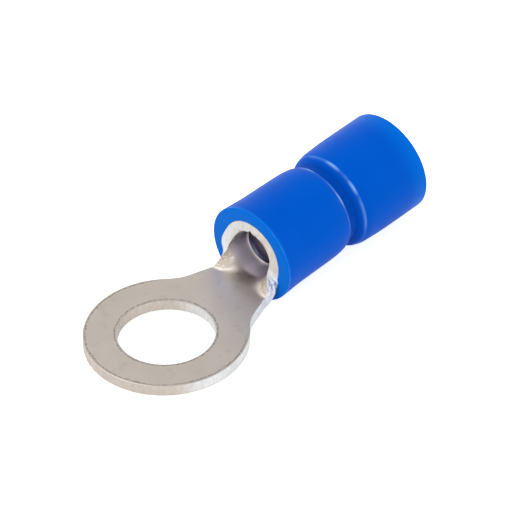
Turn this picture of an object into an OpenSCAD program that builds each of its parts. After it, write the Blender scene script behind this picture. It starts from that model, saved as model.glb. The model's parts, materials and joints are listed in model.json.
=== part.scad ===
// Insulated ring terminal: a stamped and rolled lug with a moulded sleeve over its barrel.
// All lengths are in millimetres. The origin is the centre of the stud hole on the ring's
// underside, +Z runs up through the hole and +X along the terminal, towards the wire entry.

/* [Ring] */
// Outer diameter of the ring
ring_od = 9.5; // [8.6:0.1:11]
// Diameter of the stud hole
stud_hole_d = 5.6; // [4.3:0.1:6.2]
// Thickness of the sheet that the lug is stamped from
sheet_t = 0.7; // [0.5:0.05:0.9]
// Radius of the soft edge that the punch leaves round the upper face
rollover_r = 0.1; // [0.03:0.01:0.15]
// How far the underside stands out past the upper edge, where the sheet tore away
tear_out = 0.04; // [0.01:0.01:0.08]

/* [Neck] */
// Width of the neck where it starts to roll up towards the barrel
neck_w = 4.3; // [3.8:0.1:4.8]
// Angle between each side of the neck and the terminal's axis
neck_taper = 19; // [8:1:24]
// Radius of the inside corner between the ring and the neck
neck_corner_r = 1.9; // [1.2:0.1:2.6]
// Length over which the flat neck rolls up to meet the barrel's mouth
roll_l = 1.2; // [0.9:0.05:1.6]

/* [Barrel] */
// Distance from the centre of the stud hole to the barrel's mouth
mouth_x = 6.95; // [6.9:0.05:9]
// Bore of the barrel, which takes the bare strands
barrel_bore_d = 2.5; // [2.2:0.05:2.7]
// Length of the barrel from its mouth to its rear end
barrel_l = 5.4; // [5.2:0.1:7]
// Inside diameter of the flared mouth
mouth_d = 3; // [2.9:0.05:3.3]
// Length of the flare behind the mouth
flare_l = 1; // [0.6:0.05:1.1]
// Depth of the tongue's upper face below the floor of the bore
tongue_drop = 0.15; // [0:0.01:0.3]
// Lead-in chamfer at the rear end of the bore
barrel_lead = 0.2; // [0.05:0.05:0.3]

/* [Serrations in the bore] */
// Number of pressed rings that bite into the strands
serration_n = 3; // [1:1:3]
// Width of each pressed ring
serration_w = 0.8; // [0.4:0.05:0.85]
// Land left between one pressed ring and the next
serration_land = 0.55; // [0.4:0.05:0.6]
// Land left in front of the first pressed ring
serration_lead = 0.1; // [0.05:0.05:0.2]
// Depth of each pressed ring
serration_depth = 0.16; // [0.05:0.01:0.18]

/* [Sleeve] */
// Outer diameter at the front face
sleeve_front_d = 5.98; // [5.86:0.02:6.4]
// Length of the lip that tapers down behind the front face
lip_l = 1.4; // [0.8:0.1:2]
// Outer diameter behind the lip
sleeve_body_d = 5.78; // [5.72:0.02:5.9]
// Outer diameter where the front section starts to fall towards the groove
sleeve_waist_d = 5.68; // [5.5:0.02:5.72]
// Length of the soft fall from there to the groove's front edge
waist_l = 0.4; // [0.35:0.05:0.6]
// Outer diameter at the groove's front edge
groove_edge_d = 5.3; // [5.1:0.02:5.4]
// Outer diameter at the bottom of the groove
groove_d = 4.8; // [4.5:0.05:4.95]
// Width of the groove between its two edges
groove_w = 0.9; // [0.75:0.05:1.2]
// Length of the groove's sloping rear wall
groove_slope_l = 0.3; // [0.15:0.05:0.4]
// Outer diameter where the rear section starts behind the groove
shoulder_d = 5.76; // [5.6:0.02:5.9]
// Outer diameter of the rear section
sleeve_rear_d = 6.1; // [5.95:0.05:6.4]
// Length of the cone from the shoulder up to the rear section's full diameter
shoulder_l = 1; // [0.8:0.05:1.4]
// Length of the rear section from the groove to the rear face
sleeve_rear_l = 4.9; // [4.4:0.1:7]
// Distance from the barrel's rear end to the groove's front edge
groove_past_barrel = 0.05; // [0:0.05:0.3]
// Inside diameter of the rear section, which takes the wire's insulation
wire_entry_d = 4.5; // [4:0.05:4.7]
// Length of the throat that the barrel's rear end stops against
throat_l = 0.25; // [0.15:0.05:0.4]
// Length of the funnel that guides the strands from the wire entry into the bore
funnel_l = 1; // [0.7:0.05:1.5]
// Gap between the barrel and the sleeve round it
sleeve_gap = 0.01; // [0.01:0.01:0.05]

/* [Sleeve edges] */
// Edge radius of the front and rear faces
face_edge_r = 0.18; // [0.05:0.01:0.25]
// Radius that blends the lip into the front section
lip_blend_r = 4; // [1:0.5:6]
// Radius of the soft fall in front of the groove
waist_blend_r = 0.9; // [0.3:0.1:1]
// Radius of the groove's two edges
groove_edge_r = 0.1; // [0.04:0.01:0.12]
// Radius of the corners at the bottom of the groove
groove_corner_r = 0.08; // [0.04:0.01:0.1]
// Radius that blends the cone into the rear section
cone_blend_r = 4; // [0.5:0.1:5]
// Edge radius of the mouths of the sleeve's bores
bore_edge_r = 0.12; // [0.04:0.01:0.15]

/* [Hidden] */
$fn = 96;
tin_colour = "silver";
sleeve_colour = "royalblue";

ring_r = ring_od / 2;
bore_r = barrel_bore_d / 2;
barrel_r = bore_r + sheet_t;
mouth_r = mouth_d / 2;
mouth_mid_r = mouth_r + sheet_t / 2;
axis_z = sheet_t + tongue_drop + bore_r;
barrel_end_x = mouth_x + barrel_l;
throat_r = bore_r + barrel_lead;
roll_x = mouth_x - roll_l;
// Stations along the rolled stretch, points across the sheet and steps in a soft edge
roll_steps = 12;
sheet_steps = 20;
edge_steps = 3;
arc_steps = 8;
// Overlap that fuses the rolled stretch with the tongue in front and the barrel behind
weld_l = 0.15;
weld_inset = 0.01;

// The flat end of a skin, as a strip of triangles between the ring's two halves
function end_strip(count) = [
    [0, 1, count - 1],
    for (i = [1 : floor(count / 2) - 1])
        let (near = i + 1, far = count - i - 1)
            each (near < far ? [[i, near, far], [i, far, far + 1]] : [[i, near, far + 1]])
];

// A closed skin over rings of points that all have the same count, clockwise seen from the last one
module skin(rings) {
    count = len(rings[0]);
    last = len(rings) - 1;
    sides = [
        for (i = [0 : last - 1], j = [0 : count - 1])
            let (a = i * count + j, b = i * count + (j + 1) % count)
                each [[a, b, b + count], [a, b + count, a + count]]
    ];
    strip = end_strip(count);
    start = [for (t = strip) [t[2], t[1], t[0]]];
    end = [for (t = strip) t + last * count * [1, 1, 1]];
    polyhedron(points = [for (ring = rings) each ring], faces = concat(sides, start, end));
}

// ---- The flat tongue ----

// The inside corner is an arc that touches the ring and the neck's sloping side
side_normal = [sin(neck_taper), cos(neck_taper)];
side_reach = side_normal * [roll_x, neck_w / 2];
corner_dist = ring_r + neck_corner_r;
corner_dir = 90 - neck_taper - acos((side_reach + neck_corner_r) / corner_dist);
corner_centre = corner_dist * [cos(corner_dir), sin(corner_dir)];

// Half width of the neck's sloping sides at any place along the terminal
function neck_half(x) = neck_w / 2 - (x - roll_x) * tan(neck_taper);

// One side of the tongue's outline, drawn in by an inset, from the ring's front to the neck's end
function tongue_side(inset) = concat(
    [
        for (i = [0 : 5 * arc_steps])
            let (a = 180 - (180 - corner_dir) * i / (5 * arc_steps))
                (ring_r - inset) * [cos(a), sin(a)]
    ],
    [
        for (i = [1 : arc_steps])
            let (a = corner_dir + 180 + (90 - neck_taper - corner_dir) * i / arc_steps)
                corner_centre + (neck_corner_r + inset) * [cos(a), sin(a)]
    ],
    [[roll_x, neck_w / 2 - inset / cos(neck_taper)]]
);

// The whole outline at one height, with the second side mirrored and without the double point
function tongue_ring(inset, z) =
    let (side = tongue_side(inset), count = len(side))
        concat(
            [for (i = [0 : count - 1]) [side[i].x, side[i].y, z]],
            [for (i = [count - 1 : -1 : 1]) [side[i].x, -side[i].y, z]]
        );

// Inset and height of the sheared edge, from the torn underside up over the roll-over
function sheared_edge() = concat(
    [[-tear_out, 0]],
    [
        for (i = [0 : edge_steps])
            let (a = 90 * i / edge_steps)
                [rollover_r * (1 - cos(a)), sheet_t - rollover_r * (1 - sin(a))]
    ]
);

module flat_tongue() {
    skin([for (edge = sheared_edge()) tongue_ring(edge[0], edge[1])]);
}

// The punched hole has the same roll-over on top and the same tear below
module stud_hole() {
    hole_r = stud_hole_d / 2;
    translate([0, 0, -1])
        cylinder(r = hole_r, h = sheet_t + 2);
    translate([0, 0, sheet_t])
        rotate_extrude()
            difference() {
                translate([0, -rollover_r])
                    square([hole_r + rollover_r, 2 * rollover_r]);
                translate([hole_r + rollover_r, -rollover_r])
                    circle(r = rollover_r, $fn = 24);
            }
}

// ---- The rolled stretch between the tongue and the barrel's mouth ----

// Half width of the sheet, laid flat: it flares in a quarter arc up to half the mouth's round
function sheet_half(x, flare) =
    neck_half(x) + (PI * mouth_mid_r / 2 - neck_half(mouth_x)) * flare;

// A point on the curled sheet, at a place across its width and an offset from its middle
function curled(x, across, offset, bend, floor_z) =
    bend < 0.001
        ? [x, across, floor_z + offset]
        : let (a = across * bend * 180 / PI, r = 1 / bend)
            [x, (r - offset) * sin(a), floor_z + r - (r - offset) * cos(a)];

// The sheet's section at one station: a sheared edge, the underside, the other edge, the upper face
function curled_section(x, turn, inset) =
    let (
        u = sin(turn),
        bend = u * u / mouth_mid_r,
        floor_z = sheet_t / 2 + (axis_z - mouth_mid_r - sheet_t / 2) * u * u,
        half = sheet_half(min(x, mouth_x), 1 - cos(turn)) - inset,
        half_t = sheet_t / 2 - inset,
        edge = [for (e = sheared_edge()) [half - e[0], (2 * e[1] / sheet_t - 1) * half_t]],
        flat = half - rollover_r,
        across = [for (i = [1 : sheet_steps - 1]) 1 - 2 * i / sheet_steps]
    )
        [
            for (i = [len(edge) - 1 : -1 : 0]) curled(x, edge[i][0], edge[i][1], bend, floor_z),
            for (s = across) curled(x, s * half, -half_t, bend, floor_z),
            for (e = edge) curled(x, -e[0], e[1], bend, floor_z),
            for (s = across) curled(x, -s * flat, half_t, bend, floor_z)
        ];

module rolled_stretch() {
    skin(concat(
        [curled_section(roll_x - weld_l, 0, 2 * weld_inset)],
        [
            for (i = [0 : roll_steps])
                let (turn = 90 * i / roll_steps)
                    curled_section(roll_x + roll_l * sin(turn), turn, weld_inset)
        ],
        [curled_section(mouth_x + weld_l, 90, sheet_t / 5)]
    ));
}

// ---- The barrel ----

// Place along the terminal where each pressed ring starts
function serration_start(i) = mouth_x + flare_l + serration_lead + i * (serration_w + serration_land);

module barrel() {
    pressed = [
        for (i = [serration_n - 1 : -1 : 0])
            let (x = serration_start(i))
                each [
                    [bore_r, x + serration_w],
                    [bore_r + serration_depth, x + serration_w - serration_depth],
                    [bore_r + serration_depth, x + serration_depth],
                    [bore_r, x]
                ]
    ];
    profile = concat(
        [
            [mouth_r, mouth_x],
            [mouth_r + sheet_t, mouth_x],
            [barrel_r, mouth_x + flare_l],
            [barrel_r, barrel_end_x],
            [throat_r, barrel_end_x],
            [bore_r, barrel_end_x - barrel_lead]
        ],
        pressed
    );
    translate([0, 0, axis_z])
        rotate([0, 90, 0])
            rotate_extrude()
                polygon(profile);
}

module ring_lug() {
    color(tin_colour)
        difference() {
            union() {
                flat_tongue();
                rolled_stretch();
                barrel();
            }
            stud_hole();
        }
}

// ---- The sleeve ----

// The place of an outline's corner; each corner is [radius, x, arc]
function flat_point(corner) = [corner[0], corner[1]];

// A corner of an outline replaced by an arc of its own radius
function rounded_corner(before, corner, after) =
    let (
        at = flat_point(corner),
        r = corner[2],
        u = (flat_point(before) - at) / norm(flat_point(before) - at),
        v = (flat_point(after) - at) / norm(flat_point(after) - at),
        half = acos(u * v) / 2,
        centre = at + (u + v) / norm(u + v) * r / sin(half),
        from = at + u * r / tan(half) - centre,
        to = at + v * r / tan(half) - centre,
        sweep = acos(min(1, from * to / (r * r)))
    )
        [
            for (i = [0 : arc_steps])
                let (t = i / arc_steps)
                    centre + (from * sin(sweep * (1 - t)) + to * sin(sweep * t)) / sin(sweep)
        ];

function rounded_outline(points) =
    let (count = len(points))
        [
            for (i = [0 : count - 1])
                let (
                    p = points[i],
                    before = points[(i + count - 1) % count],
                    after = points[(i + 1) % count]
                )
                    each (p[2] == 0 ? [flat_point(p)] : rounded_corner(before, p, after))
        ];

module insulating_sleeve() {
    groove_x = barrel_end_x + groove_past_barrel;
    shoulder_x = groove_x + groove_w;
    rear_x = shoulder_x + sleeve_rear_l;
    funnel_x = barrel_end_x + throat_l;
    seat_r = barrel_r + sleeve_gap;
    outline = [
        [mouth_r + sheet_t + sleeve_gap, mouth_x, 0],
        [sleeve_front_d / 2, mouth_x, face_edge_r],
        [sleeve_body_d / 2, mouth_x + lip_l, lip_blend_r],
        [sleeve_waist_d / 2, groove_x - waist_l, waist_blend_r],
        [groove_edge_d / 2, groove_x, groove_edge_r],
        [groove_d / 2, groove_x, groove_corner_r],
        [groove_d / 2, shoulder_x - groove_slope_l, groove_corner_r],
        [shoulder_d / 2, shoulder_x, groove_edge_r],
        [sleeve_rear_d / 2, shoulder_x + shoulder_l, cone_blend_r],
        [sleeve_rear_d / 2, rear_x, face_edge_r],
        [wire_entry_d / 2, rear_x, bore_edge_r],
        [wire_entry_d / 2, funnel_x + funnel_l, 0],
        [throat_r, funnel_x, 0],
        [throat_r, barrel_end_x, 0],
        [seat_r, barrel_end_x, 0],
        [seat_r, mouth_x + flare_l, 0]
    ];
    color(sleeve_colour)
        translate([0, 0, axis_z])
            rotate([0, 90, 0])
                rotate_extrude()
                    polygon(rounded_outline(outline));
}

ring_lug();
insulating_sleeve();
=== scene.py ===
import json
import math

import bmesh
import bpy
from mathutils import Matrix, Vector


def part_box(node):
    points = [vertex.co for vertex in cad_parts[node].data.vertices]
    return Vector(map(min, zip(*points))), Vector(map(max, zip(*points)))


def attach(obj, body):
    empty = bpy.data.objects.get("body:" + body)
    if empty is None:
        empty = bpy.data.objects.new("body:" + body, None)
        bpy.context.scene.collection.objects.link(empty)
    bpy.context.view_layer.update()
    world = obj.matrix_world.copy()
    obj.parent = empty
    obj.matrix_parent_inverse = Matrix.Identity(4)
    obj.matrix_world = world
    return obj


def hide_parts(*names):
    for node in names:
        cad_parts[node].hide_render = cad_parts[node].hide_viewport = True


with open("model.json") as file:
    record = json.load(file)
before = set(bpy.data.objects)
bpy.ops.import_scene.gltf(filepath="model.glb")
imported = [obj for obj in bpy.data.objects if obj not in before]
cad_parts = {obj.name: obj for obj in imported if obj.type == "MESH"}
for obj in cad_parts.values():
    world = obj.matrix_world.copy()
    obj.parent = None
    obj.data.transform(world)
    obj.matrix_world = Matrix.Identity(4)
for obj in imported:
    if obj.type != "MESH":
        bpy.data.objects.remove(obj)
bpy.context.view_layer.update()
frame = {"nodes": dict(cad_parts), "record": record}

# ---- Sizes of the terminal, in metres, some read from the imported part and its record, the rest given here ----

MM = 0.001
mounts = {m["name"]: m for m in frame["record"]["mounts"]}
lug_low, lug_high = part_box("ring_lug")
sleeve_low, sleeve_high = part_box("insulating_sleeve")

hole_r = mounts["stud_hole"]["dims"]["r_mm"] * MM
bore_r = mounts["wire_barrel"]["dims"]["r_mm"] * MM
entry_r = mounts["wire_entry"]["dims"]["r_mm"] * MM
sheet_t = mounts["upper_face"]["pos_m"][2]
axis_z = mounts["wire_barrel"]["pos_m"][2]
tear_out = 0.04 * MM
ring_r = -lug_low.x - tear_out
mouth_x = sleeve_low.x
barrel_end_x = lug_high.x
rear_x = sleeve_high.x

# The flat neck and the stretch that rolls up into the barrel
roll_l = 1.2 * MM
roll_x = mouth_x - roll_l
wing_x = mouth_x - 0.4 * MM
neck_half_w = 2.15 * MM
neck_taper = math.radians(19)
neck_corner_r = 1.9 * MM
# The flared mouth of the barrel
mouth_r = 1.5 * MM
flare_l = 1.0 * MM
flare_x = mouth_x + flare_l
mouth_mid_r = mouth_r + sheet_t / 2
barrel_mid_r = bore_r + sheet_t / 2
# The pressed rings inside the barrel
serration_w = 0.8 * MM
serration_pitch = 1.35 * MM
serration_lead = 0.1 * MM
serration_depth = 0.16 * MM
serration_count = 3
barrel_lead = 0.2 * MM
serrations = [flare_x + serration_lead + n * serration_pitch for n in range(serration_count)]
ridge_x = flare_x + serration_lead / 2
ridge_h = 0.08 * MM
seam_depth = 0.16 * MM
# The rounding of the sheared edges, and the close loop that holds the ring's edges
shear_edge_r = 0.1 * MM
edge_loop = 0.17 * MM
# How far one wing springs forward, and how far the sleeve's rear droops
wing_spring = 0.27 * MM
droop_depth = 0.045 * MM
# The sleeve over the barrel
sleeve_gap = 0.01 * MM
groove_x = barrel_end_x + 0.05 * MM
funnel_x = barrel_end_x + 0.25 * MM
funnel_l = 1.0 * MM

# Segments round the ring and round the sleeve, rows in the neck and in the rolled stretch
RING_SEGMENTS = 120
SLEEVE_SEGMENTS = 160
NECK_ROWS = 7
ROLL_ROWS = 8
# Columns in each wing's flared edge, and from there to the seam
WING_COLUMNS = 5
WRAP_COLUMNS = 15
# Smallest step that counts when places are compared
NEAR = 1e-7

# Where the neck leaves the ring
NECK_ANGLE = math.radians(42)
ring_edge_x = ring_r * math.cos(NECK_ANGLE)
ring_edge_y = ring_r * math.sin(NECK_ANGLE)


# ---- Helpers ----

def start(piece_name):
    """Names the new primitive and opens it in edit mode."""
    piece = bpy.context.active_object
    piece.name = piece_name
    piece.data.name = piece_name
    bpy.ops.object.mode_set(mode="EDIT")
    bpy.ops.mesh.select_mode(type="VERT")
    return piece


def select(piece, test):
    """Selects the vertices whose place passes the test."""
    mesh = bmesh.from_edit_mesh(piece.data)
    for vertex in mesh.verts:
        vertex.select = test(vertex.co)
    mesh.select_flush_mode()
    bmesh.update_edit_mesh(piece.data)


def move(piece, place):
    """Moves every vertex to the place that a function gives for where it is."""
    mesh = bmesh.from_edit_mesh(piece.data)
    for vertex in mesh.verts:
        vertex.co = place(vertex.co)
    bmesh.update_edit_mesh(piece.data)


def extrude(step=(0, 0, 0), scale=(1, 1, 1), centre=(0, 0, 0)):
    """Extrudes the selected edges, then shifts and scales the new ones."""
    bpy.ops.mesh.extrude_edges_move(TRANSFORM_OT_translate={"value": step})
    if scale != (1, 1, 1):
        bpy.ops.transform.resize(value=scale, center_override=centre)


def apply_modifier(piece, kind, **settings):
    """Adds a modifier with its settings and applies it."""
    modifier = piece.modifiers.new(kind.title(), kind)
    for setting, value in settings.items():
        setattr(modifier, setting, value)
    bpy.ops.object.modifier_apply(modifier=modifier.name)


# ---- The lug ----

def neck_half(x):
    """Half width of the neck where its sides slope in a straight line."""
    return neck_half_w - (x - roll_x) * math.tan(neck_taper)


# The round inside corner between the ring and the neck's sloping side
side_normal = Vector((math.sin(neck_taper), math.cos(neck_taper)))
side_reach = side_normal.dot(Vector((roll_x, neck_half_w)))
corner_dist = ring_r + neck_corner_r
corner_dir = math.pi / 2 - neck_taper - math.acos((side_reach + neck_corner_r) / corner_dist)
corner_centre = corner_dist * Vector((math.cos(corner_dir), math.sin(corner_dir)))
corner_end = corner_centre - neck_corner_r * side_normal


def outline_half(x):
    """Half width of the neck at a place behind the ring: the round inside corner, then the sloping side."""
    if x > corner_end.x:
        return neck_half(x)
    reach = neck_corner_r ** 2 - (x - corner_centre.x) ** 2
    return corner_centre.y - math.sqrt(max(reach, 0))


def swell(angle):
    """How far the mouth stands out of round, by the angle from +Y up to +Z."""
    return 1 + 0.035 * math.cos(2 * (angle - math.radians(120))) - 0.03 * math.exp(
        -((angle - math.radians(28)) / 0.35) ** 2)


def smooth(t):
    """Rises gently from 0 to 1."""
    t = min(max(t, 0), 1)
    return t * t * (3 - 2 * t)


def wing_half(x):
    """Half width of the flat blank where its sides flare, in a quarter arc, up to half the mouth's round."""
    rise = 1 - math.sqrt(max(1 - ((x - roll_x) / roll_l) ** 2, 0))
    return neck_half(x) + (math.pi * mouth_mid_r / 2 - neck_half(mouth_x)) * rise


def wing_edge_x(y):
    """Where the flared side stands at a half width."""
    low, high = wing_x, mouth_x
    for _ in range(40):
        middle = (low + high) / 2
        if wing_half(middle) < y:
            low = middle
        else:
            high = middle
    return high


def onto_wing(p):
    """Fits the front of the barrel's blank to the flared side and the straight mouth edge."""
    y = abs(p.y)
    if y < wing_half(wing_x) + NEAR or not wing_x - NEAR < p.x < flare_x - NEAR:
        return p
    edge_x = mouth_x if y > math.pi * mouth_mid_r / 2 - NEAR else wing_edge_x(y)
    share = (p.x - wing_x) / (flare_x - wing_x)
    return Vector((edge_x + share * (flare_x - edge_x), p.y, p.z))


def tube_mid_r(x):
    """Radius to the middle of the barrel's wall, wider where the mouth flares."""
    return mouth_mid_r + (barrel_mid_r - mouth_mid_r) * min((x - mouth_x) / flare_l, 1)


def rolled(flat):
    """Where a point of the flat blank goes when the blank is rolled up."""
    x, y = flat.x, flat.y
    if x < roll_x + 10 * NEAR:
        return flat
    along = min((x - roll_x) / roll_l, 1)
    curl = 0.92 * smooth(along ** 1.5) + 0.08 * along ** 2
    turn = y * curl / mouth_mid_r
    if x > mouth_x:
        radius = tube_mid_r(x)
        floor_z = axis_z - radius
        shaped = 1 - smooth((x - mouth_x) / flare_l)
    else:
        radius = mouth_mid_r / curl
        floor_z = sheet_t / 2 + (axis_z - mouth_mid_r - sheet_t / 2) * curl
        shaped = curl
    point = Vector((x, radius * math.sin(turn), floor_z + radius - radius * math.cos(turn)))
    return out_of_round(point, shaped)


def out_of_round(point, share):
    """Presses a point of the mouth out of round, by a share of the mouth's full amount."""
    angle = math.atan2(point.z - axis_z, point.y) % (2 * math.pi)
    height = max(0, min(1, (point.z - axis_z) / mouth_r + 1))
    out = 1 + (swell(angle) - 1) * share * height
    return Vector((point.x, point.y * out, axis_z + (point.z - axis_z) * out))


def wavy(angle):
    """The unevenness of the mouth's sheared edge."""
    return 0.03 * math.sin(5 * angle + 1.0) + 0.025 * math.sin(9 * angle + 2.4) + 0.02 * math.sin(17 * angle)


def mark_sheared(lug):
    """Keeps how much each point belongs to a sheared face, for the material to read."""
    points = lug.data.vertices
    total, count = [0] * len(points), [0] * len(points)
    for face in lug.data.polygons:
        for index in face.vertices:
            total[index] += face.material_index
            count[index] += 1
    shares = lug.data.attributes.new("sheared", "FLOAT", "POINT")
    shares.data.foreach_set("value", [a / max(b, 1) for a, b in zip(total, count)])
    for face in lug.data.polygons:
        face.material_index = 0


def straight_half(share):
    """Half width of the neck before it is fitted, by the share of its length that is left."""
    return neck_half_w + (ring_edge_y - neck_half_w) * share


def onto_outline(p):
    """Fits the neck's straight sides to its round corners and its slope."""
    if not ring_edge_x < p.x < roll_x - NEAR:
        return p
    straight = straight_half((roll_x - p.x) / (roll_x - ring_edge_x))
    if abs(p.y) > straight * 1.001:
        return p
    return Vector((p.x, p.y * outline_half(p.x) / straight, p.z))


def inner_work(p):
    """Squares up the mouth's edge, makes it uneven, and presses the bore's serrations, seam and lead-in."""
    if p.x < wing_x:
        return p
    across = Vector((0, p.y, p.z - axis_z))
    r = across.length
    x = p.x
    angle = math.atan2(across.z, across.y)
    inside = r < tube_mid_r(max(p.x, mouth_x)) * (1 + (swell(angle % (2 * math.pi)) - 1) * 0.6)
    near = 1 - smooth((p.x - mouth_x) / (0.4 * MM))
    if p.x < mouth_x + (0.02 if inside else 0.1) * MM:
        x += (mouth_x - p.x) * smooth((across.z + 0.1 * MM) / (0.4 * MM))
    if p.x > mouth_x - 0.05 * MM:
        r += wavy(angle) * MM * near * (1.6 if inside else 0.2) * smooth(across.z / mouth_r + 0.5)
    if inside and any(s + 10 * NEAR < p.x < s + serration_w - 10 * NEAR for s in serrations):
        r += serration_depth
    if inside and p.x > barrel_end_x - 0.05 * MM:
        r += barrel_lead
    if inside and abs(p.x - ridge_x) < 0.02 * MM:
        r -= ridge_h
    if inside and p.z > axis_z and abs(p.y) < 0.02 * MM:
        r += seam_depth
    # One wing springs forward a little where it leaves the mouth
    rise = math.exp(-((across.z + 0.2 * MM) / (0.75 * MM)) ** 2)
    side = smooth((across.y - 0.6 * MM) / (0.8 * MM))
    x -= wing_spring * rise * side * (1 - smooth((p.x - mouth_x) / flare_l))
    return Vector((x, 0, axis_z)) + across.normalized() * r


def make_lug():
    """The stamped sheet: ring, neck and blank are drawn flat, rolled up, and then given their thickness."""
    middle = sheet_t / 2
    bpy.ops.object.select_all(action="DESELECT")
    bpy.ops.mesh.primitive_circle_add(vertices=RING_SEGMENTS, radius=hole_r, location=(0, 0, middle))
    bpy.ops.object.transform_apply(location=True, rotation=True, scale=True)
    lug = start("tinned_lug")
    bpy.ops.mesh.select_all(action="SELECT")
    # The ring, with a close loop along each edge
    radii = [hole_r, hole_r + edge_loop, (hole_r + ring_r) / 2, ring_r - edge_loop, ring_r]
    for inner, outer in zip(radii, radii[1:]):
        extrude(scale=(outer / inner, outer / inner, 1), centre=(0, 0, middle))
    # The neck, drawn in towards the line where the sheet starts to roll
    select(lug, lambda p: p.xy.length > ring_r - edge_loop / 2
           and abs(math.atan2(p.y, p.x)) < NECK_ANGLE + 0.01)
    last_y = ring_edge_y
    for left in range(NECK_ROWS - 1, -1, -1):
        y = straight_half(left / NECK_ROWS)
        extrude(scale=(left / (left + 1), y / last_y, 1), centre=(roll_x, 0, middle))
        last_y = y
    move(lug, onto_outline)
    # The start of the roll, where the sides begin to flare
    select(lug, lambda p: p.x > roll_x - 10 * NEAR)
    last_x, last_y = roll_x, neck_half_w
    for row in range(1, ROLL_ROWS + 1):
        x = roll_x + (wing_x - roll_x) * row / ROLL_ROWS
        extrude((x - last_x, 0, 0), (1, wing_half(x) / last_y, 1), (0, 0, middle))
        last_x, last_y = x, wing_half(x)
    # The barrel's lower strip, with a row at every change of its bore
    rows = [wing_x + (flare_x - wing_x) * share for share in (0.16, 0.28, 0.4, 0.52, 0.64, 0.76, 0.88, 1)]
    rows.append(ridge_x)
    for x in serrations:
        rows += [x, x + serration_depth, x + serration_w - serration_depth, x + serration_w]
    rows += [barrel_end_x - barrel_lead, barrel_end_x]
    for x in rows:
        extrude((x - last_x, 0, 0))
        last_x = x
    # Both sides are drawn out to the seam, where they meet once the blank is rolled up
    select(lug, lambda p: p.x > wing_x - NEAR and abs(p.y) > wing_half(wing_x) - NEAR)
    quarter = math.pi * mouth_mid_r / 2
    first_turn = math.asin((wing_x - roll_x) / roll_l)
    turns = [first_turn + (math.pi / 2 - first_turn) * n / WING_COLUMNS for n in range(1, WING_COLUMNS + 1)]
    widths = [wing_half(roll_x + roll_l * math.sin(turn)) for turn in turns[:-1]] + [quarter]
    widths += [quarter + quarter * n / WRAP_COLUMNS for n in range(1, WRAP_COLUMNS + 1)]
    for y in widths:
        extrude(scale=(1, y / last_y, 1), centre=(0, 0, middle))
        last_y = y
    move(lug, onto_wing)
    move(lug, rolled)
    bpy.ops.mesh.select_all(action="SELECT")
    bpy.ops.mesh.remove_doubles(threshold=0.002 * MM)
    bpy.ops.mesh.normals_make_consistent(inside=False)
    bpy.ops.object.mode_set(mode="OBJECT")
    # The sheared faces get a slot of their own for now, so that they can be told apart later
    for _ in range(2):
        lug.data.materials.append(None)
    apply_modifier(lug, "SOLIDIFY", thickness=sheet_t, offset=0, use_even_offset=True, material_offset_rim=1)
    bpy.ops.object.mode_set(mode="EDIT")
    move(lug, inner_work)
    bpy.ops.mesh.select_all(action="SELECT")
    bpy.ops.mesh.normals_make_consistent(inside=False)
    bpy.ops.object.mode_set(mode="OBJECT")
    apply_modifier(lug, "BEVEL", width=shear_edge_r, segments=3, limit_method="ANGLE",
                   angle_limit=math.radians(50))
    apply_modifier(lug, "SUBSURF", levels=1, render_levels=1)
    mark_sheared(lug)
    bpy.ops.object.shade_smooth_by_angle(angle=math.radians(50))
    return lug


# ---- The sleeve ----

def fit_to_mouth(p):
    """Opens the front of the sleeve's bore to the out-of-round mouth, and lets the rear droop a little."""
    across = Vector((0, p.y, p.z - axis_z))
    if p.x < flare_x and across.length < 2.4 * MM:
        return out_of_round(p, 1 - smooth((p.x - mouth_x) / flare_l))
    droop = droop_depth * smooth((p.x - groove_x) / (1.2 * MM))
    return p + droop * Vector((0, -0.757, -0.653))


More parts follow.
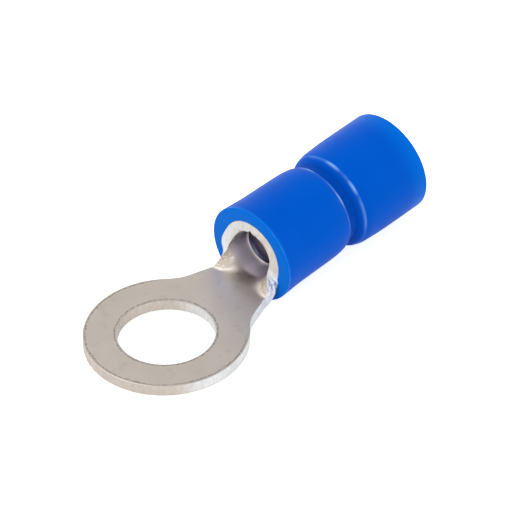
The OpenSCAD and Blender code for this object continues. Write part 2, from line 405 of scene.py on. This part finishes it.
def make_sleeve():
    """The moulded sleeve: one closed section, spun round the barrel's axis."""
    seat_r = barrel_mid_r + sheet_t / 2 + sleeve_gap
    throat_r = bore_r + barrel_lead
    # Corners of the section: place along the axis, radius, rounding
    section = [
        (mouth_x, mouth_mid_r + sheet_t / 2 + sleeve_gap, 0),
        (mouth_x, 2.995 * MM, 0.2 * MM),
        (mouth_x + 0.75 * MM, 2.945 * MM, 0.5 * MM),
        (mouth_x + 1.55 * MM, 2.893 * MM, 0.6 * MM),
        (mouth_x + 3.0 * MM, 2.868 * MM, 0.8 * MM),
        (groove_x - 0.9 * MM, 2.833 * MM, 0.6 * MM),
        (groove_x - 0.32 * MM, 2.762 * MM, 0.3 * MM),
        (groove_x, 2.64 * MM, 0.05 * MM),
        (groove_x, 2.4 * MM, 0.08 * MM),
        (groove_x + 0.6 * MM, 2.4 * MM, 0.12 * MM),
        (groove_x + 0.9 * MM, 2.875 * MM, 0.1 * MM),
        (groove_x + 1.3 * MM, 2.985 * MM, 0.3 * MM),
        (groove_x + 2.6 * MM, 3.045 * MM, 0.9 * MM),
        (rear_x, 3.035 * MM, 0.2 * MM),
        (rear_x, entry_r, 0.12 * MM),
        (funnel_x + funnel_l, entry_r, 0),
        (funnel_x, throat_r, 0),
        (barrel_end_x, throat_r, 0),
        (barrel_end_x, seat_r, 0),
        (flare_x, seat_r, 0),
    ]
    bpy.ops.object.select_all(action="DESELECT")
    bpy.ops.mesh.primitive_plane_add(size=0.1 * MM, location=(mouth_x, 0, axis_z))
    bpy.ops.object.transform_apply(location=True, rotation=True, scale=True)
    sleeve = start("blue_sleeve")
    bpy.ops.mesh.select_all(action="SELECT")
    bpy.ops.mesh.merge(type="CENTER")
    last_x, last_r = section[0][:2]
    bpy.ops.transform.translate(value=(0, 0, last_r))
    for x, r, rounding in section[1:]:
        bpy.ops.mesh.extrude_vertices_move(TRANSFORM_OT_translate={"value": (x - last_x, 0, r - last_r)})
        last_x, last_r = x, r
    # The section's last corner is joined to its first
    mesh = bmesh.from_edit_mesh(sleeve.data)
    mesh.verts.ensure_lookup_table()
    ends = [min(mesh.verts, key=lambda v: (v.co - Vector((c[0], 0, axis_z + c[1]))).length)
            for c in (section[0], section[-1])]
    mesh.edges.new(ends)
    bmesh.update_edit_mesh(sleeve.data)
    for x, r, rounding in section:
        if rounding:
            place = Vector((x, 0, axis_z + r))
            select(sleeve, lambda p: (p - place).length < 0.01 * MM)
            bpy.ops.mesh.bevel(offset=rounding * 0.5, offset_type="OFFSET", segments=6, affect="VERTICES")
    bpy.ops.mesh.select_all(action="SELECT")
    bpy.ops.mesh.spin(steps=SLEEVE_SEGMENTS, angle=2 * math.pi, center=(0, 0, axis_z), axis=(1, 0, 0))
    bpy.ops.mesh.select_all(action="SELECT")
    bpy.ops.mesh.remove_doubles(threshold=0.001 * MM)
    move(sleeve, fit_to_mouth)
    bpy.ops.mesh.normals_make_consistent(inside=False)
    bpy.ops.object.mode_set(mode="OBJECT")
    bpy.ops.object.shade_smooth_by_angle(angle=math.radians(40))
    return sleeve


# ---- Materials ----

def linear(hex_colour):
    """An sRGB hex colour as linear red, green, blue and alpha."""
    values = [int(hex_colour[i:i + 2], 16) / 255 for i in (0, 2, 4)]
    return tuple(v / 12.92 if v <= 0.04045 else ((v + 0.055) / 1.055) ** 2.4 for v in values) + (1.0,)


def new_material(material_name):
    """An empty material, ready for its nodes."""
    material = bpy.data.materials.new(material_name)
    material.use_nodes = True
    material.node_tree.nodes.clear()
    return material


def add_node(material, kind, settings=None, **inputs):
    """Adds a node with its settings. An input is named, or numbered as i0, i1 and so on, and is given a value
    or another node's output."""
    node = material.node_tree.nodes.new(kind)
    for setting, value in (settings or {}).items():
        setattr(node, setting, value)
    for socket_name, value in inputs.items():
        number = socket_name[1:]
        socket = node.inputs[int(number) if number.isdigit() else socket_name.replace("_", " ")]
        if isinstance(value, bpy.types.NodeSocket):
            material.node_tree.links.new(value, socket)
        else:
            socket.default_value = value
    return node


# Settings that several nodes share: a range with soft ends, and a mix of two colours
EASED = {"interpolation_type": "SMOOTHSTEP"}
COLOURS = {"data_type": "RGBA"}


def tinned_copper():
    """Copper sheet with an electroplated tin coat: a soft warm-grey metal sheen, finely grained, with dark
    scratches along the punched edges, an upright grain on the sheared ones and crinkles at the wings' roots.
    A painted reflection lightens the sheared faces on one side, and painted shade darkens the inside of the
    barrel."""
    material = new_material("electroplated_tin_on_copper")
    place = add_node(material, "ShaderNodeTexCoord").outputs["Object"]
    # The plating's clouds are about 2 mm across and its smudges 0.7 mm. Its grain is far finer than 0.1 mm,
    # and is drawn that coarse so that it shows.
    grain = add_node(material, "ShaderNodeTexNoise", Vector=place, Scale=9000.0, Detail=3.0).outputs["Fac"]
    cloud = add_node(material, "ShaderNodeTexNoise", Vector=place, Scale=500.0, Detail=4.0).outputs["Fac"]
    smudge = add_node(material, "ShaderNodeTexNoise", Vector=place, Scale=1500.0, Detail=3.0).outputs["Fac"]
    # How far from the stud hole's axis a point is, for the scratches along both punched edges
    flat_place = add_node(material, "ShaderNodeVectorMath", {"operation": "MULTIPLY"}, i0=place,
                          i1=(1, 1, 0)).outputs[0]
    radius = add_node(material, "ShaderNodeVectorMath", {"operation": "LENGTH"},
                      i0=flat_place).outputs["Value"]
    strayed = add_node(material, "ShaderNodeMapRange", Value=smudge, From_Min=0.3, From_Max=0.7,
                       To_Min=-0.04 * MM, To_Max=0.04 * MM).outputs["Result"]
    radius = add_node(material, "ShaderNodeMath", {"operation": "ADD"}, i0=radius, i1=strayed).outputs[0]
    lines = []
    for edge_r in (ring_r - 0.14 * MM, hole_r + 0.13 * MM):
        off = add_node(material, "ShaderNodeMath", {"operation": "SUBTRACT"}, i0=radius, i1=edge_r).outputs[0]
        gap = add_node(material, "ShaderNodeMath", {"operation": "ABSOLUTE"}, i0=off).outputs[0]
        lines.append(add_node(material, "ShaderNodeMapRange", EASED, Value=gap, From_Min=0.01 * MM,
                              From_Max=0.07 * MM, To_Min=1.0, To_Max=0.0).outputs["Result"])
    along = add_node(material, "ShaderNodeSeparateXYZ", Vector=place).outputs["X"]
    away = add_node(material, "ShaderNodeMapRange", Value=along, From_Min=2.2 * MM, From_Max=3.2 * MM,
                    To_Min=1.0, To_Max=0.0).outputs["Result"]
    rim_line = add_node(material, "ShaderNodeMath", {"operation": "MULTIPLY"}, i0=lines[0],
                        i1=away).outputs[0]
    line = add_node(material, "ShaderNodeMath", {"operation": "MAXIMUM"}, i0=rim_line, i1=lines[1]).outputs[0]
    # The scratches break up about every 0.15 mm
    chatter = add_node(material, "ShaderNodeTexNoise", Vector=place, Scale=7000.0, Detail=2.0).outputs["Fac"]
    broken = add_node(material, "ShaderNodeMapRange", Value=chatter, From_Min=0.4, From_Max=0.6, To_Min=0.15,
                      To_Max=0.75).outputs["Result"]
    facing = add_node(material, "ShaderNodeSeparateXYZ",
                      Vector=add_node(material, "ShaderNodeNewGeometry").outputs["Normal"]).outputs["Z"]
    on_top = add_node(material, "ShaderNodeMapRange", Value=facing, From_Min=0.5,
                      From_Max=0.9).outputs["Result"]
    scratched = add_node(material, "ShaderNodeMath", {"operation": "MULTIPLY"}, i0=line, i1=broken).outputs[0]
    scratched = add_node(material, "ShaderNodeMath", {"operation": "MULTIPLY"}, i0=scratched,
                         i1=on_top).outputs[0]
    coat = add_node(material, "ShaderNodeMix", COLOURS, Factor=cloud, i6=linear("d6cabd"),
                    i7=linear("e8ddd1")).outputs[2]
    stain = add_node(material, "ShaderNodeMapRange", Value=smudge, From_Min=0.58, From_Max=0.78, To_Min=0.0,
                     To_Max=0.35).outputs["Result"]
    stained = add_node(material, "ShaderNodeMix", COLOURS, Factor=stain, i6=coat,
                       i7=linear("b9aca0")).outputs[2]
    tint = add_node(material, "ShaderNodeMix", COLOURS, Factor=scratched, i6=stained,
                    i7=linear("6b625a")).outputs[2]
    # The sheared faces carry an upright grain, about 0.2 mm wide
    upright = add_node(material, "ShaderNodeVectorMath", {"operation": "MULTIPLY"}, i0=place,
                       i1=(1, 1, 0.5)).outputs[0]
    torn = add_node(material, "ShaderNodeTexNoise", Vector=upright, Scale=5000.0, Detail=3.0).outputs["Fac"]
    sheared = add_node(material, "ShaderNodeAttribute", {"attribute_name": "sheared"}).outputs["Fac"]
    mottle = add_node(material, "ShaderNodeMapRange", Value=torn, From_Min=0.35, From_Max=0.65, To_Min=0.88,
                      To_Max=1.0).outputs["Result"]
    # The sheared faces are painted lighter and whiter towards one side, as a painted reflection
    across = add_node(material, "ShaderNodeVectorMath", {"operation": "DOT_PRODUCT"}, i0=place,
                      i1=(0.707, -0.707, 0)).outputs["Value"]
    lit_side = add_node(material, "ShaderNodeMapRange", EASED, Value=across,
                     From_Min=0.2 * MM, From_Max=2.2 * MM).outputs["Result"]
    sheared_tone_and_sheen = add_node(material, "ShaderNodeMix", COLOURS, Factor=lit_side, i6=linear("dacfc3"),
                      i7=linear("f0f0ef")).outputs[2]
    sheared_tone_and_sheen = add_node(material, "ShaderNodeVectorMath", {"operation": "SCALE"}, i0=sheared_tone_and_sheen,
                      Scale=mottle).outputs[0]
    # The sheared faces take their own tone together with the painted reflection
    tint = add_node(material, "ShaderNodeMix", COLOURS, Factor=sheared, i6=tint, i7=sheared_tone_and_sheen).outputs[2]
    # Inside the barrel the coat is painted darker and cooler, as painted shade in the recess, except on a
    # narrow ring at the ridge, which keeps the coat's colour and shows as a bright line
    from_axis = add_node(material, "ShaderNodeVectorMath", {"operation": "SUBTRACT"}, i0=place,
                         i1=(0, 0, axis_z)).outputs[0]
    from_axis = add_node(material, "ShaderNodeVectorMath", {"operation": "MULTIPLY"}, i0=from_axis,
                         i1=(0, 1, 1)).outputs[0]
    from_axis = add_node(material, "ShaderNodeVectorMath", {"operation": "LENGTH"},
                         i0=from_axis).outputs["Value"]
    within = add_node(material, "ShaderNodeMapRange", Value=from_axis, From_Min=mouth_r + 0.2 * MM,
                      From_Max=mouth_r + 0.4 * MM, To_Min=1.0, To_Max=0.0).outputs["Result"]
    behind = add_node(material, "ShaderNodeMapRange", EASED, Value=along,
                      From_Min=mouth_x - 0.5 * MM, From_Max=mouth_x + 0.4 * MM).outputs["Result"]
    inner = add_node(material, "ShaderNodeMapRange", Value=sheared, From_Min=0.0, From_Max=0.5, To_Min=1.0,
                     To_Max=0.0).outputs["Result"]
    behind = add_node(material, "ShaderNodeMath", {"operation": "MULTIPLY"}, i0=behind, i1=inner).outputs[0]
    barrel_shade = add_node(material, "ShaderNodeMath", {"operation": "MULTIPLY"}, i0=within, i1=behind).outputs[0]
    from_ridge = add_node(material, "ShaderNodeMath", {"operation": "SUBTRACT"}, i0=along,
                          i1=ridge_x).outputs[0]
    from_ridge = add_node(material, "ShaderNodeMath", {"operation": "ABSOLUTE"}, i0=from_ridge).outputs[0]
    off_ridge = add_node(material, "ShaderNodeMapRange", Value=from_ridge, From_Min=0.05 * MM,
                         From_Max=0.08 * MM).outputs["Result"]
    barrel_shade = add_node(material, "ShaderNodeMath", {"operation": "MULTIPLY"}, i0=barrel_shade, i1=off_ridge).outputs[0]
    # Painted shade inside the barrel
    tint = add_node(material, "ShaderNodeMix", COLOURS, Factor=barrel_shade, i6=tint,
                    i7=linear("c6c1cb")).outputs[2]
    torn_high = add_node(material, "ShaderNodeMath", {"operation": "MULTIPLY"}, i0=torn,
                         i1=sheared).outputs[0]
    # Crinkles of about 0.2 mm at the root of each wing, where the sheet is drawn up
    crinkle = add_node(material, "ShaderNodeTexNoise", Vector=place, Scale=5500.0, Detail=2.0).outputs["Fac"]
    roots = []
    for side in (-1, 1):
        reach = add_node(material, "ShaderNodeVectorMath", {"operation": "DISTANCE"}, i0=place,
                         i1=(wing_x - 0.15 * MM, side * 1.85 * MM, sheet_t + 0.3 * MM)).outputs["Value"]
        roots.append(add_node(material, "ShaderNodeMapRange", EASED, Value=reach, From_Min=0.15 * MM,
                              From_Max=0.75 * MM, To_Min=1.0, To_Max=0.0).outputs["Result"])
    root = add_node(material, "ShaderNodeMath", {"operation": "MAXIMUM"}, i0=roots[0], i1=roots[1]).outputs[0]
    crinkled = add_node(material, "ShaderNodeMath", {"operation": "MULTIPLY"}, i0=crinkle, i1=root).outputs[0]
    rough = add_node(material, "ShaderNodeMapRange", Value=grain, From_Min=0.3, From_Max=0.7, To_Min=0.34,
                     To_Max=0.48).outputs["Result"]
    fine = add_node(material, "ShaderNodeBump", Height=grain, Strength=0.3,
                    Distance=0.01 * MM).outputs["Normal"]
    drawn = add_node(material, "ShaderNodeBump", Height=torn_high, Strength=0.6, Distance=0.05 * MM,
                     Normal=fine).outputs["Normal"]
    creased = add_node(material, "ShaderNodeBump", Height=crinkled, Strength=1.0, Distance=0.16 * MM,
                       Normal=drawn).outputs["Normal"]
    shader = add_node(material, "ShaderNodeBsdfPrincipled", Base_Color=tint, Metallic=1.0, Roughness=rough,
                      Normal=creased).outputs["BSDF"]
    add_node(material, "ShaderNodeOutputMaterial", Surface=shader)
    return material


def blue_pvc():
    """Soft PVC from the mould: an even, deep blue with a low gloss and a faint ripple where it cooled, with
    painted light at both ends, painted shade at the groove and painted highlights on its corners.
    """
    material = new_material("injection_moulded_pvc")
    place = add_node(material, "ShaderNodeTexCoord").outputs["Object"]
    # Cooling ripples are about 3 mm across. The mould's own grain is finer than 0.1 mm, and is drawn that
    # coarse so that it shows.
    ripple = add_node(material, "ShaderNodeTexNoise", Vector=place, Scale=300.0, Detail=2.0).outputs["Fac"]
    grain = add_node(material, "ShaderNodeTexNoise", Vector=place, Scale=8000.0, Detail=2.0).outputs["Fac"]
    tint = add_node(material, "ShaderNodeMix", COLOURS, Factor=ripple,
                    i6=linear("0058ca"), i7=linear("0061d8")).outputs[2]
    # Both ends are painted lighter, as painted light on the front rim and the rear end, and the groove is
    # painted darker, as painted shade
    along = add_node(material, "ShaderNodeSeparateXYZ", Vector=place).outputs["X"]
    front = add_node(material, "ShaderNodeMapRange", EASED, Value=along, From_Min=mouth_x + 0.02 * MM,
                     From_Max=mouth_x + 0.35 * MM, To_Min=0.8, To_Max=0.0).outputs["Result"]
    rear = add_node(material, "ShaderNodeMapRange", EASED, Value=along,
                    From_Min=rear_x - 1.6 * MM, From_Max=rear_x, To_Min=0.0, To_Max=0.7).outputs["Result"]
    ends = add_node(material, "ShaderNodeMath", {"operation": "MAXIMUM"}, i0=front, i1=rear).outputs[0]
    # Painted light at both ends
    tint = add_node(material, "ShaderNodeMix", COLOURS, Factor=ends, i6=tint,
                    i7=linear("0078e6")).outputs[2]
    # Painted shade along the groove
    from_groove = add_node(material, "ShaderNodeMath", {"operation": "SUBTRACT"}, i0=along,
                           i1=groove_x + 0.35 * MM).outputs[0]
    from_groove = add_node(material, "ShaderNodeMath", {"operation": "ABSOLUTE"}, i0=from_groove).outputs[0]
    groove_shade = add_node(material, "ShaderNodeMapRange", EASED, Value=from_groove,
                    From_Min=0.25 * MM, From_Max=0.5 * MM, To_Min=0.8, To_Max=0.0).outputs["Result"]
    tint = add_node(material, "ShaderNodeMix", COLOURS, Factor=groove_shade, i6=tint,
                    i7=linear("004cb6")).outputs[2]
    # Painted highlights on the mould's sharp corners at the groove and at the front rim, here and there
    corner_highlights = []
    for corner_x, reach, most in ((mouth_x + 0.1 * MM, 0.07 * MM, 0.5), (groove_x - 0.1 * MM, 0.13 * MM, 1.0),
                                  (groove_x + 0.93 * MM, 0.12 * MM, 1.0)):
        off = add_node(material, "ShaderNodeMath", {"operation": "SUBTRACT"}, i0=along,
                       i1=corner_x).outputs[0]
        off = add_node(material, "ShaderNodeMath", {"operation": "ABSOLUTE"}, i0=off).outputs[0]
        corner_highlights.append(add_node(material, "ShaderNodeMapRange", EASED, Value=off,
                               From_Min=0.0, From_Max=reach, To_Min=most, To_Max=0.0).outputs["Result"])
    corner_highlight = add_node(material, "ShaderNodeMath", {"operation": "MAXIMUM"}, i0=corner_highlights[0],
                   i1=corner_highlights[1]).outputs[0]
    corner_highlight = add_node(material, "ShaderNodeMath", {"operation": "MAXIMUM"}, i0=corner_highlight, i1=corner_highlights[2]).outputs[0]
    # The painted highlights come and go over about 1 mm
    uneven = add_node(material, "ShaderNodeTexNoise", Vector=place, Scale=900.0, Detail=3.0).outputs["Fac"]
    highlight_amount = add_node(material, "ShaderNodeMapRange", Value=uneven, From_Min=0.4, From_Max=0.65, To_Min=0.1,
                    To_Max=0.45).outputs["Result"]
    # Where the painted highlights are strongest: the place along the axis, the angle round it and the length
    # of the highlight
    for highlight_x, angle, length in ((groove_x - 0.25 * MM, 137, 0.9), (groove_x - 0.1 * MM, 78, 0.8),
                                  (groove_x + 0.9 * MM, 98, 0.8), (groove_x + 0.9 * MM, 134, 0.7)):
        turn = math.radians(angle)
        highlight_place = (highlight_x, 2.8 * MM * math.cos(turn), axis_z + 2.8 * MM * math.sin(turn))
        reach = add_node(material, "ShaderNodeVectorMath", {"operation": "DISTANCE"}, i0=place,
                         i1=highlight_place).outputs["Value"]
        highlight_spot = add_node(material, "ShaderNodeMapRange", EASED, Value=reach,
                        From_Min=0.1 * MM, From_Max=length * MM, To_Min=1.0, To_Max=0.0).outputs["Result"]
        highlight_amount = add_node(material, "ShaderNodeMath", {"operation": "MAXIMUM"}, i0=highlight_amount, i1=highlight_spot).outputs[0]
    corner_highlight = add_node(material, "ShaderNodeMath", {"operation": "MULTIPLY"}, i0=corner_highlight, i1=highlight_amount).outputs[0]
    # Painted highlight colour on the corners
    tint = add_node(material, "ShaderNodeMix", COLOURS, Factor=corner_highlight, i6=tint,
                    i7=linear("8ab6f4")).outputs[2]
    rough = add_node(material, "ShaderNodeMapRange", Value=grain, To_Min=0.32, To_Max=0.42).outputs["Result"]
    bump = add_node(material, "ShaderNodeBump", Height=ripple, Strength=0.2,
                    Distance=0.05 * MM).outputs["Normal"]
    shader = add_node(material, "ShaderNodeBsdfPrincipled", Base_Color=tint, Roughness=rough,
                      Normal=bump).outputs["BSDF"]
    shader.node.inputs["Specular IOR Level"].default_value = 0.06
    shader.node.inputs["Specular Tint"].default_value = linear("0078ff")
    add_node(material, "ShaderNodeOutputMaterial", Surface=shader)
    return material


def white_floor():
    """A matt white paper sweep, evenly lit, which still takes the terminal's shadow."""
    material = new_material("white_paper_sweep")
    seen = add_node(material, "ShaderNodeLightPath")
    matte = add_node(material, "ShaderNodeBsdfDiffuse", Color=linear("ededed")).outputs[0]
    none = add_node(material, "ShaderNodeEmission", Color=linear("000000"), Strength=0.0).outputs[0]
    direct = add_node(material, "ShaderNodeEmission", Color=linear("ffffff"), Strength=0.75).outputs[0]
    mirrored = add_node(material, "ShaderNodeEmission", Color=linear("ffffff"), Strength=0.25).outputs[0]
    shown = add_node(material, "ShaderNodeMixShader", Fac=seen.outputs["Is Camera Ray"], i1=none,
                     i2=direct).outputs[0]
    bounced = add_node(material, "ShaderNodeMath", {"operation": "MAXIMUM"}, i0=seen.outputs["Is Glossy Ray"],
                       i1=seen.outputs["Is Transmission Ray"]).outputs[0]
    extra = add_node(material, "ShaderNodeMixShader", Fac=bounced, i1=shown, i2=mirrored).outputs[0]
    both = add_node(material, "ShaderNodeAddShader", i0=matte, i1=extra).outputs[0]
    add_node(material, "ShaderNodeOutputMaterial", Surface=both)
    return material


def assign(piece, material):
    """Gives a piece its one material."""
    piece.data.materials.clear()
    piece.data.materials.append(material)


tin = tinned_copper()
pvc = blue_pvc()

lug = make_lug()
assign(lug, tin)
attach(lug, "root")
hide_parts("ring_lug")

sleeve = make_sleeve()
assign(sleeve, pvc)
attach(sleeve, "root")
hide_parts("insulating_sleeve")

for node_name, material in (("ring_lug", tin), ("insulating_sleeve", pvc)):
    assign(frame["nodes"][node_name], material)


# ---- Floor, camera and light ----

def make_floor():
    """A plane that touches the ring's front edge and the sleeve's rear edge, as a table would."""
    fall = math.atan2(sleeve_low.z, rear_x + ring_r)
    bpy.ops.object.select_all(action="DESELECT")
    bpy.ops.mesh.primitive_plane_add(size=2.0, location=(-ring_r, 0, 0))
    floor = bpy.context.active_object
    floor.name = "floor"
    floor.rotation_euler = (0, -fall, 0)
    assign(floor, white_floor())


def make_camera():
    """A long lens from above the ring's end, 1.2 m away."""
    roll = math.radians(2.8)
    ahead = Vector((0.534, 0.552, -0.640)).normalized()
    right = ahead.cross(Vector((0, 0, 1))).normalized()
    up = right.cross(ahead)
    turned_right = math.cos(roll) * right - math.sin(roll) * up
    turned_up = math.sin(roll) * right + math.cos(roll) * up
    target = Vector((0, 0, sheet_t)) + 5.021 * MM * turned_right + 4.366 * MM * turned_up
    # How far away the lens is, and how much it takes in from side to side
    distance, view_w = 1200 * MM, 28.84 * MM
    data = bpy.data.cameras.new("camera")
    data.sensor_width = 36
    data.lens = data.sensor_width * distance / view_w
    data.clip_start, data.clip_end = 0.01, 10
    camera = bpy.data.objects.new("camera", data)
    bpy.context.scene.collection.objects.link(camera)
    turn = Matrix((turned_right, turned_up, -ahead)).transposed()
    camera.matrix_world = Matrix.Translation(target - ahead * distance) @ turn.to_4x4()
    bpy.context.scene.camera = camera


def soft_box(name, place, aim_x, size, power):
    """A lamp with a rectangular face, aimed at a place along the terminal."""
    data = bpy.data.lights.new(name, "AREA")
    data.shape = "RECTANGLE"
    data.size, data.size_y = size
    data.energy = power
    lamp = bpy.data.objects.new(name, data)
    bpy.context.scene.collection.objects.link(lamp)
    direction = Vector((aim_x, 0, 0)) - Vector(place)
    lamp.rotation_mode = "QUATERNION"
    lamp.rotation_quaternion = direction.to_track_quat("-Z", "Y")
    lamp.location = place


def make_world():
    """White walls round the table, with a darker and cooler ceiling."""
    world = bpy.data.worlds.new("studio")
    bpy.context.scene.world = world
    world.use_nodes = True
    world.node_tree.nodes.clear()
    place = add_node(world, "ShaderNodeTexCoord").outputs["Generated"]
    height = add_node(world, "ShaderNodeSeparateXYZ", Vector=place).outputs["Z"]
    ramp = add_node(world, "ShaderNodeValToRGB", Fac=height)
    stops = [(0.0, "ffffff"), (0.3, "fdfdfd"), (0.64, "cecece"), (0.82, "b6bac2"), (1.0, "adb1bc")]
    for _ in stops[2:]:
        ramp.color_ramp.elements.new(0.5)
    for stop, (where, colour) in zip(ramp.color_ramp.elements, stops):
        stop.position = where
        stop.color = linear(colour)
    back = add_node(world, "ShaderNodeBackground", Color=ramp.outputs["Color"]).outputs[0]
    add_node(world, "ShaderNodeOutputWorld", Surface=back)


make_floor()
make_camera()
make_world()
# Name, place, what it aims at along the terminal, size in metres, watts
for lamp in (("overhead", (-0.25, 0.15, 0.65), 7 * MM, (0.9, 0.9), 1.6),
             ("key_light", (-0.24, 0.2, 0.61), 7 * MM, (0.06, 0.06), 0.45),
             ("rear_strip", (0.52, -0.275, 0.126), 12 * MM, (0.06, 0.06), 0.3),
             ("low_fill", (0.05, -0.6, 0.12), 7 * MM, (0.5, 0.2), 0.3)):
    soft_box(*lamp)

bpy.context.scene.view_settings.view_transform = "Standard"
